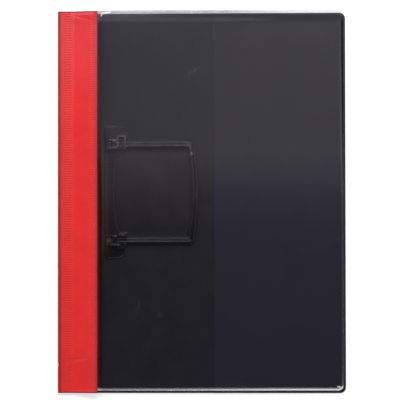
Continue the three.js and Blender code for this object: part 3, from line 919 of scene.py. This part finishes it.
def sheet_haze_and_light(x, y, along):
    """Haze colour of the sheet by itself with painted light along it, its scuffs and painted clip
    highlights, its painted highlight bands, painted shade over the lower lobe and its brown tint.
    """
    haze_and_light = np.stack([np.interp(along, HAZE_AND_LIGHT_STOPS, channel) for channel in zip(*HAZE_AND_LIGHT_COLOURS)], -1)
    light = marked(x, y, SCUFFS_AND_CLIP_HIGHLIGHTS)
    for strength, place, width, start, end in HEAD_HIGHLIGHT_BANDS:
        light = light + strength * bump(place, width, SHEET_HIGH.y - y) * (1 - smoothstep(start, end, x))
    haze_and_light = with_light(haze_and_light, light) * (1 - marked(x, y, LOBE_SHADE))[..., None]
    return with_light(haze_and_light, marked(x, y, BROWN_PLACES), BROWN)


def with_hem_shadow(haze_and_light, cover, x, along):
    """Haze, painted light and cover with the strip's painted shadow and painted red reflection beside it.
    """
    from_strip = x - FLAP_HIGH.x
    dark = 1 - smoothstep(*HEM_FADE, from_strip - HEM_BULGE[0] * bump(*HEM_BULGE[1:], along))
    dark = dark * (1 - HEM_WEAKER[0] * smoothstep(*HEM_WEAKER[1:], along))
    dark = dark * smoothstep(*HEM_START, from_strip)
    haze_and_light = with_light(haze_and_light * (1 - dark)[..., None], dark, HEM_SHADOW_COLOUR)
    haze_and_light = with_light(haze_and_light, bump(RED_REFLECTION_PLACE, RED_REFLECTION_WIDTH, from_strip), RED_REFLECTION_COLOUR)
    return haze_and_light, cover + (HEM_COVER - cover) * dark


def with_rim(haze_and_light, cover, x, y, across, margin):
    """Haze and cover with the bead's painted highlight line and painted light, and the dark margin beside
    it.
    """
    from_head, from_foot = SHEET_HIGH.y - y, y - SHEET_LOW.y
    rightward = smoothstep(FLAP_HIGH.x, SHEET_HIGH.x, x)
    by_foot = smoothstep(*RIM_ENDS, from_foot)
    widths = np.where(across < LINE_PLACE, *LINE_WIDTHS)
    line = np.where(across < 1, bump(LINE_PLACE, widths, across), 0)
    light = LINE_LIGHT + by_foot * (FOOT_LIGHT[0] + FOOT_LIGHT[1] * rightward)
    light = light + FOOT_GLOW[0] * bump(0, FOOT_GLOW[1], from_foot)
    haze_and_light = with_light(haze_and_light, line * light, LINE_TINT)
    cover = cover + line * (LINE_COVER + FOOT_COVER * by_foot)
    below_head = HEAD_MARGIN[0] * bump(*HEAD_MARGIN[1:], from_head)
    shade = np.maximum(margin, below_head * smoothstep(*HEAD_MARGIN_START, rightward))
    haze_and_light = haze_and_light * (1 - MARGIN_DARKNESS * shade)[..., None]
    cover = cover + MARGIN_COVER * shade
    # On its head the bead gets painted light and a cover that falls towards the free edge
    on_head = smoothstep(*RIM_ENDS, from_head) * (across < 1)
    head_bead_cover = HEAD_COVER[0] - HEAD_COVER[1] * smoothstep(HEAD_COVER[2], 1, rightward)
    return with_light(haze_and_light, on_head * HEAD_LIGHT), cover * (1 - on_head) + on_head * head_bead_cover


def film_looks(x, y, across, margin):
    """Haze colour with painted light, and cover, of the clear sheet at each place, with painted highlights
    on the bead.
    """
    along = (y - SHEET_LOW.y) / (SHEET_HIGH.y - SHEET_LOW.y)
    haze_and_light, cover = with_hem_shadow(sheet_haze_and_light(x, y, along), np.full(x.shape, FILM_COVER), x, along)
    haze_and_light, cover = with_rim(haze_and_light, cover, x, y, across, margin)
    spots = marked(x, y, BEAD_HIGHLIGHTS)
    return with_light(haze_and_light, SPOT_LIGHT * spots), np.maximum(cover, SPOT_COVER * spots)


def build_film(materials):
    x, y, edge = film_grid()
    under, over, across, margin = film_section(x, y, edge)
    faces, kinds = film_faces(x, across)
    y = y + SHEET_MIDDLE
    sides = [np.stack([x, y, side], 2).reshape(-1, 3) for side in (under, over)]
    film = new_object("clear_front_sheet", np.concatenate(sides), faces)
    haze_and_light, cover = film_looks(x, y, across, margin)
    store(film, "haze_and_light", np.tile(haze_and_light.reshape(-1, 3), (2, 1)))
    store(film, "cover", np.tile(cover.ravel(), 2))
    for material in materials:
        film.data.materials.append(material)
    film.data.polygons.foreach_set("material_index", kinds)
    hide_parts("front_sheet")
    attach(film, "front")


# Clip: the moulded nodes with their edges rounded

def rounded_copy(node, name, body, material):
    """Copy of a CAD node with the soft edges that its mould gives."""
    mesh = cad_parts[node].data.copy()
    work = bmesh.new()
    work.from_mesh(mesh)
    bmesh.ops.remove_doubles(work, verts=work.verts, dist=MERGE_DISTANCE)
    bmesh.ops.dissolve_limit(work, angle_limit=FLAT_ANGLE, verts=work.verts, edges=work.edges)
    work.to_mesh(mesh)
    work.free()
    piece = bpy.data.objects.new(name, mesh)
    bpy.context.scene.collection.objects.link(piece)
    mesh.polygons.foreach_set("use_smooth", [True] * len(mesh.polygons))
    rounding = piece.modifiers.new("rounding", "BEVEL")
    rounding.width = CLIP_ROUNDING
    rounding.segments = ROUNDING_SEGMENTS
    rounding.limit_method = "ANGLE"
    rounding.angle_limit = SHARP_ANGLE
    rounding.harden_normals = True
    bpy.context.view_layer.update()
    evaluated = piece.evaluated_get(bpy.context.evaluated_depsgraph_get())
    piece.data = bpy.data.meshes.new_from_object(evaluated)
    piece.modifiers.clear()
    piece.data.materials.clear()
    piece.data.materials.append(material)
    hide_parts(node)
    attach(piece, body)


# Building the scene

def main():
    make_camera()
    for name, softbox in SOFTBOXES.items():
        make_softbox(name, *softbox)
    make_room()
    make_floor()
    dress_node("rear_cover", black_vinyl())
    dress_node("inner_pocket", pocket_vinyl())
    pin_plastic = black_plastic("pin_plastic", gloss=0.4, smoothest=0.4, roughest=0.5)
    for name in ("bail_pin_upper", "bail_pin_lower"):
        dress_node(name, pin_plastic)
    base_plastic = black_plastic("black_plastic", gloss=0.5, smoothest=0.25, roughest=0.36)
    bail_plastic = black_plastic("bail_plastic", gloss=0.6, smoothest=0.2, roughest=0.3)
    rounded_copy("clip_base", "moulded_clip_base", "rear", base_plastic)
    rounded_copy("clip_bail", "moulded_clip_bail", "bail", bail_plastic)
    build_strip(red_vinyl())
    build_film((front_vinyl(), front_rim(), front_hem_shadow()))
    bpy.context.scene.view_settings.view_transform = "Standard"
    bpy.context.view_layer.update()


main()
